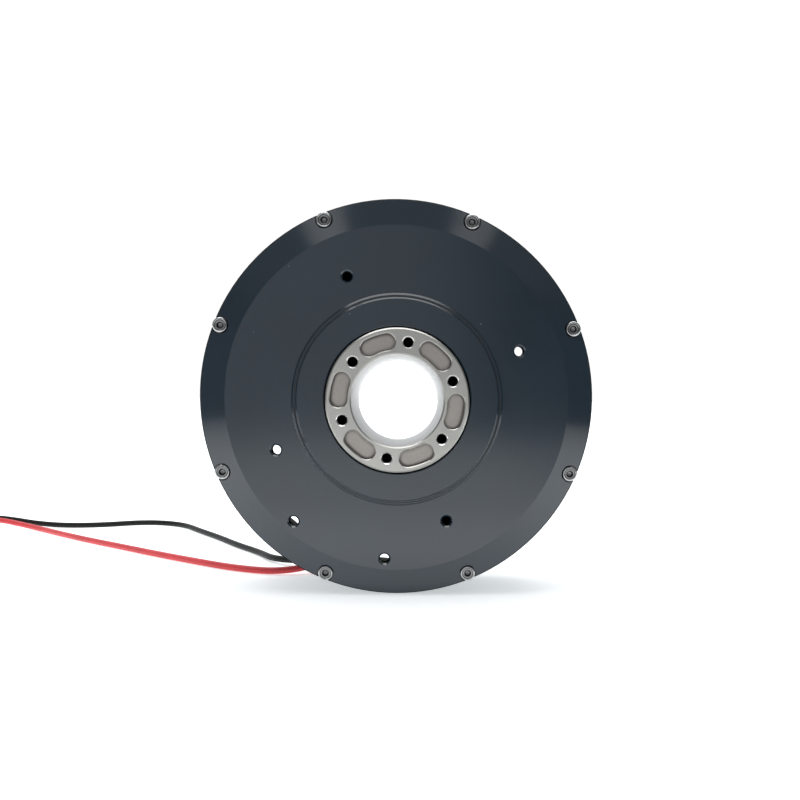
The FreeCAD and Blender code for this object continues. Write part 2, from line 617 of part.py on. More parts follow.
# ---------------------------------------------------------------------------
# Rotor: output hub, spider, magnets, encoder ring
# ---------------------------------------------------------------------------
hb = new_body("output_hub")
turned = revolve(hb, "hub_turned", [
    (d("bore_rad") + 0.4, d("hub_face")), (d("hub_rad") - 0.35, d("hub_face")), (d("hub_rad"), d("hub_face") + 0.35),
    (d("hub_rad"), d("hub_back")), (d("step_rad"), d("hub_back")), (d("step_rad"), d("bear_front")),
    (d("journal_rad"), d("bear_front")), (d("journal_rad"), d("shaft_end") - 0.3), (d("journal_rad") - 0.3, d("shaft_end")),
    (d("sleeve_seat"), d("shaft_end")), (d("sleeve_seat"), d("sleeve_start")), (d("bore_rad") + 0.15, d("sleeve_start")),
    (d("bore_rad"), d("sleeve_start") - 0.15), (d("bore_rad"), d("hub_face") + 0.4)])
sk = sketch_on(hb, "XZ_Plane", "hub_pocket_sketch", d("hub_face") - 1.0)
sector(sk, d("pocket_pos") - d("pocket_half_w"), d("pocket_pos") + d("pocket_half_w"), num("pocket_half_ang"), num("hub_phase") + 30.0, "round")
hp = cut_along(hb, "hub_pocket", sk, d("pocket_deep") + 1.0)
sk = sketch_on(hb, "XZ_Plane", "hub_hole_sketch", d("hub_face") - 1.0)
circle(sk, *at(d("hub_pcd_rad"), d("hub_phase")), d("hub_tap"))
hh = cut_along(hb, "hub_hole", sk, d("hub_hole_deep") + 1.0)
pat = around(hb, "hub_pattern", [hp, hh], 6)


def on_hub_face(e, lo, hi):
    b = e.BoundBox
    if abs(b.YMin - num("hub_face")) > 1e-4 or abs(b.YMax - num("hub_face")) > 1e-4:
        return False
    return all(lo < math.hypot(v.X, v.Z) < hi for v in e.Vertexes)


ch1, n1 = chamfer_edges(hb, "pocket_break", pat, 0.25,
                        lambda e: on_hub_face(e, 12.6, 17.6) and not (isinstance(e.Curve, Part.Circle) and abs(e.Curve.Radius - num("hub_tap")) < 1e-3))
ch2, n2 = chamfer_edges(hb, "hole_break", ch1, num("hub_sink") - num("hub_tap"),
                        lambda e: on_hub_face(e, 12.6, 17.6) and isinstance(e.Curve, Part.Circle) and abs(e.Curve.Radius - num("hub_tap")) < 1e-3)
hb.Tip = ch2
print("hub edges chamfered", n1, n2)
key_cut = doc.addObject("Part::Box", "hub_keyway")
key_cut.Length, key_cut.Width, key_cut.Height = 3.04, 8.04, 3.0
key_cut.Placement = FreeCAD.Placement(V(-1.52, 13.98, 13.6), FreeCAD.Rotation())
hcut = doc.addObject("Part::Cut", "output_hub_cut")
hcut.Base, hcut.Tool = hb, key_cut
doc.recompute()
keep(hcut, "output_hub")

cs = new_body("cable_sleeve")
revolve(cs, "sleeve_turned", [(d("bore_rad") + 0.15, d("sleeve_start")), (d("sleeve_rad"), d("sleeve_start")), (d("sleeve_rad"), d("sleeve_end")),
                              (d("bore_rad") + 0.3, d("sleeve_end")), (d("bore_rad"), d("sleeve_end") - 0.3), (d("bore_rad"), d("sleeve_start") + 0.15)])
keep(cs, "cable_sleeve")

sp = new_body("rotor_spider")
revolve(sp, "spider_turned", [(15.0, 14.0), (21.98, 14.0), (21.98, 24.0), (20.0, 24.0), (20.0, 17.0), (17.6, 17.0), (17.6, 22.0), (15.0, 22.0)])
sk = sketch_on(sp, "XZ_Plane", "spider_hole_sketch", 13.0)
circle(sk, *at(18.8, 15.0), 0.8)
sh = cut_along(sp, "spider_hole", sk, 6.0)
around(sp, "spider_hole_pattern", [sh], 12)
scut = doc.addObject("Part::Cut", "rotor_spider_cut")
skey = doc.addObject("Part::Box", "spider_keyway")
skey.Length, skey.Width, skey.Height = 3.04, 12.0, 3.0
skey.Placement = FreeCAD.Placement(V(-1.52, 13.0, 13.45), FreeCAD.Rotation())
scut.Base, scut.Tool = sp, skey
doc.recompute()
keep(scut, "rotor_spider")
key = doc.addObject("Part::Box", "drive_key")
key.Length, key.Width, key.Height = 3.0, 8.0, 2.7
key.Placement = FreeCAD.Placement(V(-1.5, 14.0, 13.65), FreeCAD.Rotation())
keep(key, "drive_key")

ring("rotor_back_iron", 22.0, d("iron_out"), d("stack_front"), d("stack_back"))
n_poles = int(num("poles"))
mags = []
for k in range(n_poles):
    a0 = 360.0 * k / n_poles
    half = 360.0 / n_poles * 0.41
    outer = Part.makeCylinder(num("magnet_out"), y1 - y0, V(0, y0, 0), V(0, 1, 0), 2 * half)
    inner = Part.makeCylinder(num("iron_out") + 0.02, y1 - y0 + 2, V(0, y0 - 1, 0), V(0, 1, 0), 360)
    m = outer.cut(inner)
    m.rotate(V(0, 0, 0), V(0, 1, 0), -a0)
    mags.append(m)
group("rotor_magnets", mags)
ring("front_spacer", 15.0, 16.9, d("bear_front") + d("bear_wide"), d("stack_front"))
ring("rear_spacer", 15.0, 16.9, 22.0, d("rear_bear"))
nut = Part.makeCylinder(18.3, 2.6, V(0, 32.55, 0), V(0, 1, 0)).cut(Part.makeCylinder(15.0, 5, V(0, 31, 0), V(0, 1, 0)))
nut = cut_all(nut, [block(17.3, 20.0, 3.0, 32.0, 36.0, 90.0 * k + 45.0) for k in range(4)])
feature("shaft_nut", nut)
ring("encoder_magnet_ring", d("sleeve_seat"), 15.9, 37.8, 39.6, 0.15)

# ---------------------------------------------------------------------------
# Driver electronics on the back, under the can
# ---------------------------------------------------------------------------
bo = new_body("driver_board")
sk = sketch_on(bo, "XZ_Plane", "board_sketch", d("board_front"))
circle(sk, 0.0, 0.0, d("board_out"))
circle(sk, 0.0, 0.0, d("board_in"))
pad_along(bo, "board", sk, d("board_back") - d("board_front"))
sk = sketch_on(bo, "XZ_Plane", "board_hole_sketch", d("board_front") - 1.0)
for a in POSTS:
    circle(sk, *at(d("post_pos"), a), 1.05)
for a in PHASES:
    circle(sk, *at(26.6, a), 0.73)
bh = cut_along(bo, "board_holes", sk, 4.0)
bo.Tip = bh
doc.recompute()
keep(bo, "driver_board")

posts, spacers = [], []
for a in POSTS:
    x, z = polar(num("post_pos"), a)
    hexa = [V(x + 2.3 * math.cos(math.radians(60 * i + a)), 30.0, z + 2.3 * math.sin(math.radians(60 * i + a))) for i in range(6)]
    prism = Part.Face(Part.makePolygon(hexa + [hexa[0]])).extrude(V(0, 5.8, 0))
    prism = prism.common(pins_along_y(1.75, 30.0, 35.8, num("post_pos"), (a,))[0])
    stud = pins_along_y(1.0, 28.3, 30.2, num("post_pos"), (a,))[0]
    hole = pins_along_y(1.03, 31.5, 36.5, num("post_pos"), (a,))[0]
    posts.append(prism.fuse(stud).removeSplitter().cut(hole))
    s = pins_along_y(1.9, 37.4, 40.0, num("post_pos"), (a,))[0]
    spacers.append(s.cut(pins_along_y(1.05, 37.0, 41.0, num("post_pos"), (a,))[0]))
group("board_standoffs", posts)
group("can_spacers", spacers)

CAPS = (105.0, 121.0, 137.0, 153.0)
caps = []
for a in CAPS:
    c = pins_along_y(1.85, 31.3, 35.8, 26.1, (a,))[0]
    caps.append(c.makeFillet(0.3, [e for e in c.Edges if isinstance(e.Curve, Part.Circle) and abs(e.CenterOfMass.y - 31.3) < 1e-6]))
group("bus_capacitors", caps)
FETS = (15.0, 36.0, 57.0, 123.0, 144.0, 165.0)
group("power_transistors", [block(21.3, 25.3 if a not in (36.0, 57.0) else 25.3, 5.0, 37.4, 38.4, a) for a in FETS])
group("thermal_pads", [block(21.5, 25.1, 4.6, 38.4, 39.95, a) for a in FETS])
group("control_chips", [block(20.6, 26.6, 6.0, 37.4, 38.3, 200.0), block(21.2, 24.4, 4.4, 37.4, 38.2, 228.0), block(21.2, 24.4, 4.4, 37.4, 38.2, 311.0)])
feature("encoder_sensor", block(17.0, 20.0, 4.0, 37.4, 38.6, 252.0))
sig = block(24.9, 30.5, 8.0, 31.2, 35.8, 315.0).cut(block(26.5, 31.5, 6.6, 32.0, 35.0, 315.0))
feature("signal_connector", sig)
group("signal_pins", [block(26.5, 29.6, 0.5, 33.25, 33.75, 315.0, side=s) for s in (-2.25, -0.75, 0.75, 2.25)])

LA = num("lead_ang")
LS = num("lead_side")
LY = num("lead_y")
group("power_terminals", [block(24.5, 27.6, 2.3, 31.8, 35.8, LA, side=s * LS) for s in (-1, 1)])

can = new_body("driver_can")
revolve(can, "can_turned", [
    (d("can_rad") - d("can_wall"), 30.4), (d("can_rad"), 30.4), (d("can_rad"), d("can_back") - 0.8), (d("can_rad") - 0.8, d("can_back")),
    (d("can_hole") + 0.3, d("can_back")), (d("can_hole"), d("can_back") - 0.3), (d("can_hole"), d("can_floor")),
    (d("can_rad") - d("can_wall"), d("can_floor"))])
sk = sketch_on(can, "XZ_Plane", "can_hole_sketch", d("can_floor") - 1.0)
for a in POSTS:
    circle(sk, *at(d("post_pos"), a), 1.05)
chs = cut_along(can, "can_holes", sk, 4.0)
sk = sketch_on(can, "XZ_Plane", "can_cbore_sketch", d("can_floor") + 0.6)
for a in POSTS:
    circle(sk, *at(d("post_pos"), a), 2.0)
chc = cut_along(can, "can_cbores", sk, 3.0)
can.Tip = chc
tool = doc.addObject("Part::Feature", "can_ports")
tool.Shape = Part.makeCompound([block(27.0, 32.0, 6.5, 31.1, 34.9, LA), block(27.0, 32.0, 8.3, 31.0, 36.0, 315.0)])
ccut = doc.addObject("Part::Cut", "driver_can_cut")
ccut.Base, ccut.Tool = can, tool
doc.recompute()
keep(ccut, "driver_can")
ring("can_gasket", 28.5, 29.8, 30.0, 30.4)
cap_screws("can_screws", 40.6, -1, 8.0, num("post_pos"), POSTS, 1.8, 1.0, 1.0, 1.3, 0.7, 0.15)

grom = block(28.0, 30.1, 6.4, 31.15, 34.85, LA).fuse(block(30.05, 31.6, 7.8, 30.6, 35.4, LA)).removeSplitter()
boot = Part.makeLoft([w for w in (
    Part.makePolygon([V(31.5, LY - 2.0, -3.2), V(31.5, LY + 2.0, -3.2), V(31.5, LY + 2.0, 3.2), V(31.5, LY - 2.0, 3.2), V(31.5, LY - 2.0, -3.2)]),
    Part.makePolygon([V(33.2, LY - 1.4, -2.8), V(33.2, LY + 1.4, -2.8), V(33.2, LY + 1.4, 2.8), V(33.2, LY - 1.4, 2.8), V(33.2, LY - 1.4, -2.8)]))], True, True)
boot.rotate(V(0, 0, 0), V(0, 1, 0), -LA)
grom = grom.fuse(boot).removeSplitter()


def lead_pass(side, rad, r0, r1):
    c = Part.makeCylinder(rad, r1 - r0, V(r0, LY, side), V(1, 0, 0))
    c.rotate(V(0, 0, 0), V(0, 1, 0), -LA)
    return c


grom = cut_all(grom, [lead_pass(s * LS, num("lead_dia") / 2 + 0.03, 27.0, 35.0) for s in (-1, 1)])
feature("lead_grommet", grom)

# ---------------------------------------------------------------------------
# Power leads: silicone wire, straight runs joined by tangent arcs, from the
# terminals through the grommet, down to the standing surface and along it.
# ---------------------------------------------------------------------------
RED_ROUTE = [(-11.95, 33.0, -24.93), (-14.25, 33.0, -30.47), (-17.0, 32.9, -38.6), (-21.6, 32.3, -48.2), (-33.5, 27.0, -50.0),
             (-47.9, 32.9, -50.0), (-61.6, 43.8, -50.0), (-77.5, 57.2, -50.0), (-92.6, 71.0, -50.0), (-108.2, 84.8, -50.0),
             (-122.8, 99.0, -50.0), (-138.0, 114.6, -50.0), (-157.0, 123.25, -47.8), (-168.0, 123.25, -47.8)]
BLACK_ROUTE = [(-9.17, 33.0, -26.07), (-11.47, 33.0, -31.61), (-14.4, 33.9, -39.3), (-19.5, 36.5, -46.4), (-28.4, 39.5, -48.9),
               (-38.6, 46.5, -49.6), (-44.8, 60.4, -50.0), (-54.5, 74.7, -50.0), (-64.0, 91.5, -50.0), (-74.2, 107.3, -50.0),
               (-84.2, 124.1, -50.0), (-100.0, 131.0, -50.0), (-117.8, 120.2, -50.0), (-136.6, 121.3, -50.0),
               (-157.0, 127.75, -47.8), (-168.0, 127.75, -47.8)]


def lead(name, route):
    r = num("lead_dia") / 2.0
    pts = [V(*p) for p in route]
    edges, radii = [], []
    start = pts[0]
    for i in range(1, len(pts) - 1):
        a, b = pts[i - 1] - pts[i], pts[i + 1] - pts[i]
        turn = math.pi - a.getAngle(b)
        rad = 0.45 * min(a.Length, b.Length) / math.tan(turn / 2)
        cut = rad * math.tan(turn / 2)
        radii.append(rad)
        ua, ub = V(a).normalize(), V(b).normalize()
        p1, p2 = pts[i] + ua * cut, pts[i] + ub * cut
        bis = (ua + ub).normalize()
        mid = pts[i] + bis * (rad / math.cos(turn / 2) - rad)
        edges.append(Part.LineSegment(start, p1).toShape())
        edges.append(Part.Arc(p1, mid, p2).toShape())
        start = p2
    edges.append(Part.LineSegment(start, pts[-1]).toShape())
    path = Part.Wire(edges)
    section = Part.Wire([Part.Circle(pts[0], pts[1] - pts[0], r).toShape()])
    tube = path.makePipeShell([section], True, False)
    want = math.pi * r * r * path.Length
    print("%s length %.1f  radii %s  volume %.2f against %.2f" % (
        name, path.Length, " ".join("%.1f" % x for x in radii), tube.Volume, want))
    if abs(tube.Volume / want - 1) > 0.02:
        raise RuntimeError("bad tube " + name)
    return feature(name, tube)


lead("red_lead", RED_ROUTE)
lead("black_lead", BLACK_ROUTE)

# two-way power plug on the far end, lying on the standing surface
px0, px1, py, pw, ph = -186.0, -168.0, 125.5, 12.0, 6.6
z0 = num("floor_z")
plug = Part.makeBox(px1 - px0, pw, ph, V(px0, py - pw / 2, z0))
plug = plug.makeFillet(1.1, plug.Edges)
mouth = Part.makeBox(11.0, pw - 2.2, ph - 2.2, V(px0 - 0.5, py - pw / 2 + 1.1, z0 + 1.1))
plug = plug.cut(mouth)
plug = plug.cut(Part.makeCompound([Part.makeCylinder(1.05, 12.0, V(px1 - 12.0, y, -47.8), V(1, 0, 0)) for y in (123.25, 127.75)]))
feature("power_plug", plug)
contacts = []
for y in (123.25, 127.75):
    c = Part.makeCylinder(1.5, 8.0, V(px0 + 1.5, y, -47.8), V(1, 0, 0)).cut(Part.makeCylinder(1.0, 6.0, V(px0 + 1.0, y, -47.8), V(1, 0, 0)))
    tail = Part.makeCylinder(1.0, (px1 - 0.0) - (px0 + 9.5), V(px0 + 9.5, y, -47.8), V(1, 0, 0))
    contacts.append(c.fuse(tail).removeSplitter())
group("plug_contacts", contacts)

# ---------------------------------------------------------------------------
# Checks and export
# ---------------------------------------------------------------------------
doc.recompute()
bad = [o.Name for o in doc.Objects if "Invalid" in o.State or "Error" in o.State]
if bad:
    raise RuntimeError("failed objects: " + ", ".join(bad))
os.makedirs("parts", exist_ok=True)
seen = set()
for obj, name in NODES:
    if name in seen:
        raise RuntimeError("two nodes named " + name)
    seen.add(name)
    s = obj.Shape
    if s.isNull() or not s.isValid() or not s.Solids:
        raise RuntimeError("bad shape: " + name)
    s.exportStep("parts/" + name + ".step")
    bb = s.BoundBox
    print("%-26s solids %2d  volume %9.1f  x %7.2f %7.2f  y %7.2f %7.2f  z %7.2f %7.2f" % (
        name, len(s.Solids), s.Volume, bb.XMin, bb.XMax, bb.YMin, bb.YMax, bb.ZMin, bb.ZMax))
print("nodes", len(NODES))
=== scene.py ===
import bpy, bmesh, math, json
from mathutils import Vector, Matrix


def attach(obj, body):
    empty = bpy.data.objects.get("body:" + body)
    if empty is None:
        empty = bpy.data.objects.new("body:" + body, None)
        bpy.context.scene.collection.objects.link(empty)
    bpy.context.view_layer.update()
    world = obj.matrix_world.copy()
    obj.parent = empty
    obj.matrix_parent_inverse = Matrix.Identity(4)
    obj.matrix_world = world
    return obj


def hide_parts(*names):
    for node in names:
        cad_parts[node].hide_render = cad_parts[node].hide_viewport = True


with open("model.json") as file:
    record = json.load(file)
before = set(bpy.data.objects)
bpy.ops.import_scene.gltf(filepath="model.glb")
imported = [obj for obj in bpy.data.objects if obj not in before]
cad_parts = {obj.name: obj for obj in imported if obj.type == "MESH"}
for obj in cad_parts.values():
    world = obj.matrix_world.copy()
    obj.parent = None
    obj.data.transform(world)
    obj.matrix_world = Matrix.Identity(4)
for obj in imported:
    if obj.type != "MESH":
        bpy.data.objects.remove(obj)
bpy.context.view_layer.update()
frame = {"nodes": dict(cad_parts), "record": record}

nodes = frame["nodes"]
FLOOR = -0.051
scene = bpy.context.scene
scene.view_settings.view_transform = "Standard"
scene.view_settings.look = "None"

# ---------------------------------------------------------------------------
# camera: on the axis of the disc, 240 mm in front of the mounting face
# ---------------------------------------------------------------------------
cam_data = bpy.data.cameras.new("camera")
cam = bpy.data.objects.new("camera", cam_data)
scene.collection.objects.link(cam)
F_PX = 928.9
cam_data.sensor_width = 36.0
cam_data.lens = F_PX / 800.0 * 36.0
cam_data.shift_x = -36.4 / 800.0
cam_data.shift_y = 95.7 / 800.0
cam.location = (0.00137, -0.240, 0.00193)
yaw, pitch, roll = math.radians(2.115), math.radians(6.283), math.radians(0.523)
ahead = Vector((math.sin(yaw) * math.cos(pitch), math.cos(yaw) * math.cos(pitch), -math.sin(pitch)))
right0 = Vector((math.cos(yaw), -math.sin(yaw), 0.0))
up0 = right0.cross(ahead)
right1 = right0 * math.cos(roll) + up0 * math.sin(roll)
up1 = up0 * math.cos(roll) - right0 * math.sin(roll)
cam.rotation_mode = "QUATERNION"
cam.rotation_quaternion = Matrix((right1, up1, -ahead)).transposed().to_quaternion()
cam_data.clip_start = 0.01
cam_data.clip_end = 50.0
scene.camera = cam


# ---------------------------------------------------------------------------
# node helpers
# ---------------------------------------------------------------------------
class Mat:
    def __init__(self, name):
        self.m = bpy.data.materials.new(name)
        self.m.use_nodes = True
        self.t = self.m.node_tree
        self.b = self.t.nodes["Principled BSDF"]
        self.out = self.t.nodes["Material Output"]

    def n(self, kind, **kw):
        node = self.t.nodes.new(kind)
        for k, v in kw.items():
            if k in node.inputs.keys() if hasattr(node.inputs, "keys") else False:
                node.inputs[k].default_value = v
            else:
                setattr(node, k, v)
        return node

    def link(self, a, b):
        self.t.links.new(a, b)

    def set(self, **kw):
        for k, v in kw.items():
            self.b.inputs[k.replace("_", " ")].default_value = v
        return self

    def pos(self):
        tc = self.t.nodes.new("ShaderNodeTexCoord")
        return tc.outputs["Object"]

    def noise(self, scale, detail=4.0, rough=0.55, vec=None, dist=0.0):
        nz = self.t.nodes.new("ShaderNodeTexNoise")
        nz.inputs["Scale"].default_value = scale
        nz.inputs["Detail"].default_value = detail
        nz.inputs["Roughness"].default_value = rough
        nz.inputs["Distortion"].default_value = dist
        self.link(vec if vec is not None else self.pos(), nz.inputs["Vector"])
        return nz.outputs["Fac"]

    def remap(self, src, a, b, c, d, smooth=False):
        mr = self.t.nodes.new("ShaderNodeMapRange")
        if smooth:
            mr.interpolation_type = "SMOOTHSTEP"
        mr.inputs["From Min"].default_value = a
        mr.inputs["From Max"].default_value = b
        mr.inputs["To Min"].default_value = c
        mr.inputs["To Max"].default_value = d
        self.link(src, mr.inputs["Value"])
        return mr.outputs["Result"]

    def math(self, op, a, b=None, clamp=False):
        mm = self.t.nodes.new("ShaderNodeMath")
        mm.operation = op
        mm.use_clamp = clamp
        for i, x in enumerate((a, b)):
            if x is None:
                continue
            if isinstance(x, (int, float)):
                mm.inputs[i].default_value = x
            else:
                self.link(x, mm.inputs[i])
        return mm.outputs[0]

    def mix(self, fac, a, b):
        mx = self.t.nodes.new("ShaderNodeMix")
        mx.data_type = "RGBA"
        for sock, x in ((mx.inputs[0], fac), (mx.inputs[6], a), (mx.inputs[7], b)):
            if isinstance(x, (int, float)):
                sock.default_value = x
            elif isinstance(x, (tuple, list)):
                sock.default_value = (x[0], x[1], x[2], 1.0)
            else:
                self.link(x, sock)
        return mx.outputs[2]

    def bump(self, height, strength, distance, chain=None):
        bp = self.t.nodes.new("ShaderNodeBump")
        bp.inputs["Strength"].default_value = strength
        bp.inputs["Distance"].default_value = distance
        self.link(height, bp.inputs["Height"])
        if chain is not None:
            self.link(chain, bp.inputs["Normal"])
        return bp.outputs["Normal"]

    def radius(self):
        """Distance from the axis of rotation, and the place along it."""
        sep = self.t.nodes.new("ShaderNodeSeparateXYZ")
        self.link(self.pos(), sep.inputs[0])
        xx = self.math("MULTIPLY", sep.outputs[0], sep.outputs[0])
        zz = self.math("MULTIPLY", sep.outputs[2], sep.outputs[2])
        return self.math("SQRT", self.math("ADD", xx, zz)), sep.outputs[1]

    def to(self, socket, src):
        self.link(src, self.b.inputs[socket])


def anodised(name, base=(0.0080, 0.0200, 0.0335), rough=0.135):
    """Black anodised aluminium: a fine skin with slight cloudiness and a little dust; the bay inside is matt and darker
    as painted shade, and the holes and the rim edge get painted shade too.
    """
    m = Mat(name)
    m.set(Metallic=0.0, IOR=1.77)
    r, y = m.radius()
    cloud = m.noise(42.0, 3.0, 0.5)
    fine = m.noise(2600.0, 2.0, 0.6)
    col = m.mix(m.remap(cloud, 0.3, 0.7, 0.0, 1.0), tuple(c * 0.88 for c in base), tuple(c * 1.14 for c in base))
    # sparse dust: tiny pale points
    vor = m.t.nodes.new("ShaderNodeTexVoronoi")
    vor.inputs["Scale"].default_value = 330.0
    m.link(m.pos(), vor.inputs["Vector"])
    dots = m.remap(vor.outputs["Distance"], 0.035, 0.06, 1.0, 0.0)
    sep = m.t.nodes.new("ShaderNodeSeparateColor")
    m.link(vor.outputs["Color"], sep.inputs[0])
    few = m.math("GREATER_THAN", sep.outputs[0], 0.95)
    dust = m.math("MULTIPLY", m.math("MULTIPLY", dots, few), 0.5)
    col = m.mix(dust, col, (0.30, 0.31, 0.32))
    # painted shade: the inside of the ventilated bay is coloured darker than the blasted outside
    bay = m.math("MULTIPLY", m.remap(y, 0.0012, 0.0018, 0.0, 1.0), m.remap(y, 0.0290, 0.0299, 1.0, 0.0))
    bay = m.math("MULTIPLY", bay, m.remap(r, 0.0460, 0.0464, 1.0, 0.0))
    deep_shade = m.math("MULTIPLY", m.remap(y, 0.0040, 0.0042, 0.0, 1.0), m.remap(y, 0.0294, 0.0299, 1.0, 0.0))
    bay = m.math("MAXIMUM", bay, m.math("MULTIPLY", deep_shade, m.remap(r, 0.0500, 0.0504, 1.0, 0.0)))
    bay = m.math("MULTIPLY", bay, m.remap(r, 0.0315, 0.0320, 0.0, 1.0))
    # painted dark line on the crisp outer edge, standing in for the dark reflection there
    edge = m.math("MULTIPLY", m.remap(r, 0.05066, 0.05076, 0.0, 1.0), m.remap(y, 0.0034, 0.0038, 1.0, 0.0))
    # tapped and through holes in the front cover (four at 33.75 mm, two at 41.3 mm): painted shade on their walls,
    # darker than the skin
    hole = m.math("MULTIPLY", m.remap(y, 0.00045, 0.00075, 0.0, 1.0), m.remap(y, 0.0040, 0.0041, 1.0, 0.0))
    hole = m.math("MULTIPLY", hole, m.math("MULTIPLY", m.remap(r, 0.0316, 0.0320, 0.0, 1.0), m.remap(r, 0.0430, 0.0434, 1.0, 0.0)))
    # painted_dark_mask joins the painted shade of the bay and holes with the painted dark line of the rim edge
    painted_dark_mask = m.math("MAXIMUM", m.math("MAXIMUM", bay, edge), hole)
    col = m.mix(painted_dark_mask, col, (0.0040, 0.0052, 0.0064))
    m.to("Base Color", col)
    ro = m.math("ADD", m.remap(cloud, 0.25, 0.75, rough - 0.015, rough + 0.015), m.math("MULTIPLY", dust, 0.4))
    m.to("Roughness", m.math("ADD", ro, m.math("MULTIPLY", painted_dark_mask, 0.6), True))
    # the painted shade in the holes and the bay, and the painted dark line on the rim edge, also get a duller sheen
    m.to("Specular IOR Level", m.remap(painted_dark_mask, 0.0, 1.0, 0.5, 0.09))
    m.to("Normal", m.bump(fine, 0.05, 0.00005))
    return m.m


def silver(name, base=(0.540, 0.530, 0.500), rough=0.31):
    """Clear-anodised hub: satin turned face, rougher milled pockets with painted shade along their walls, painted shade
    in the tapped holes and a painted highlight round their mouths.
    """
    m = Mat(name)
    m.set(Metallic=1.0)
    r, y = m.radius()
    wav = m.math("SINE", m.math("MULTIPLY", m.math("ADD", r, m.math("MULTIPLY", y, 0.8)), 10400.0))
    fine = m.noise(3200.0, 2.0, 0.6)
    cloud = m.noise(120.0, 3.0, 0.5)
    # six tapped holes on a 30 mm circle, first at 19.7 degrees: fold the angle into one sixth of a turn
    sep = m.t.nodes.new("ShaderNodeSeparateXYZ")
    m.link(m.pos(), sep.inputs[0])
    ang = m.math("ARCTAN2", sep.outputs[2], sep.outputs[0])
    fold = m.math("PINGPONG", m.math("SUBTRACT", ang, math.radians(19.7)), math.radians(30.0))
    # distance from the nearest hole's axis
    across = m.math("MULTIPLY", r, m.math("SINE", fold))
    along = m.math("SUBTRACT", m.math("MULTIPLY", r, m.math("COSINE", fold)), 0.015)
    hole = m.math("SQRT", m.math("ADD", m.math("MULTIPLY", across, across), m.math("MULTIPLY", along, along)))
    # painted shade: the walls of the tapped holes are coloured near black and made rougher
    painted_hole_shade = m.math("MULTIPLY", m.remap(hole, 0.00128, 0.00134, 1.0, 0.0), m.remap(y, 0.0045, 0.0050, 1.0, 0.0))
    # milled pocket floors, 1.3 mm under the face, and their walls
    pocket = m.math("MULTIPLY", m.remap(y, -0.00120, -0.00105, 0.0, 1.0), m.remap(y, 0.0030, 0.0034, 1.0, 0.0))
    pocket = m.math("MULTIPLY", pocket, m.remap(r, 0.0180, 0.0183, 1.0, 0.0))
    pocket = m.math("MULTIPLY", pocket, m.remap(r, 0.01215, 0.0124, 0.0, 1.0))
    mill = m.noise(900.0, 4.0, 0.6, dist=1.5)
    # distance from the pocket's own centre arc: painted shade on the walls and the floor beside them, strongest on the
    # outer side
    lengthwise = m.math("MULTIPLY", m.math("MAXIMUM", m.math("SUBTRACT", m.math("SUBTRACT", math.radians(30.0 - 9.2), fold), 0.0), 0.0), 0.0151)
    sideways = m.math("SUBTRACT", r, 0.0151)
    inset = m.math("SQRT", m.math("ADD", m.math("MULTIPLY", lengthwise, lengthwise), m.math("MULTIPLY", sideways, sideways)))
    pocket_wall_shade = m.math("MULTIPLY", m.remap(inset, 0.0012, 0.0021, 0.0, 1.0, True), pocket)
    pocket_wall_shade = m.math("MULTIPLY", pocket_wall_shade, m.remap(r, 0.0145, 0.0166, 0.40, 0.85))
    # painted highlight: a bright, glossier ring round each tapped hole's mouth
    mouth_highlight = m.math("MULTIPLY", m.remap(hole, 0.00132, 0.00137, 0.0, 1.0), m.remap(hole, 0.00158, 0.00165, 1.0, 0.0))
    col = m.mix(m.remap(cloud, 0.3, 0.7, 0.0, 1.0), tuple(c * 0.95 for c in base), tuple(min(1.0, c * 1.05) for c in base))
    # pocket floors and walls: a pinker milled tone, also darker as painted shade for the recess
    col = m.mix(m.math("MULTIPLY", pocket, m.remap(mill, 0.3, 0.7, 0.55, 0.85)), col, (0.400, 0.355, 0.330))
    col = m.mix(pocket_wall_shade, col, (0.115, 0.105, 0.098))
    col = m.mix(m.math("MULTIPLY", mouth_highlight, 0.85), col, (0.93, 0.93, 0.91))
    bore = m.remap(r, 0.01185, 0.0120, 1.0, 0.0)
    col = m.mix(bore, col, (0.67, 0.665, 0.66))
    col = m.mix(painted_hole_shade, col, (0.012, 0.012, 0.012))
    m.to("Base Color", col)
    ro = m.math("ADD", m.remap(cloud, 0.25, 0.75, rough - 0.03, rough + 0.04), m.math("MULTIPLY", pocket, 0.14))
    ro = m.math("ADD", ro, m.math("MULTIPLY", bore, 0.22))
    ro = m.math("SUBTRACT", ro, m.math("MULTIPLY", mouth_highlight, 0.10))
    m.to("Roughness", m.math("ADD", ro, m.math("MULTIPLY", painted_hole_shade, 0.4)))
    h = m.math("ADD", m.math("MULTIPLY", wav, 0.25), fine)
    h = m.math("ADD", h, m.math("MULTIPLY", m.math("MULTIPLY", pocket, mill), 1.5))
    m.to("Normal", m.bump(h, 0.10, 0.00005))
    return m.m


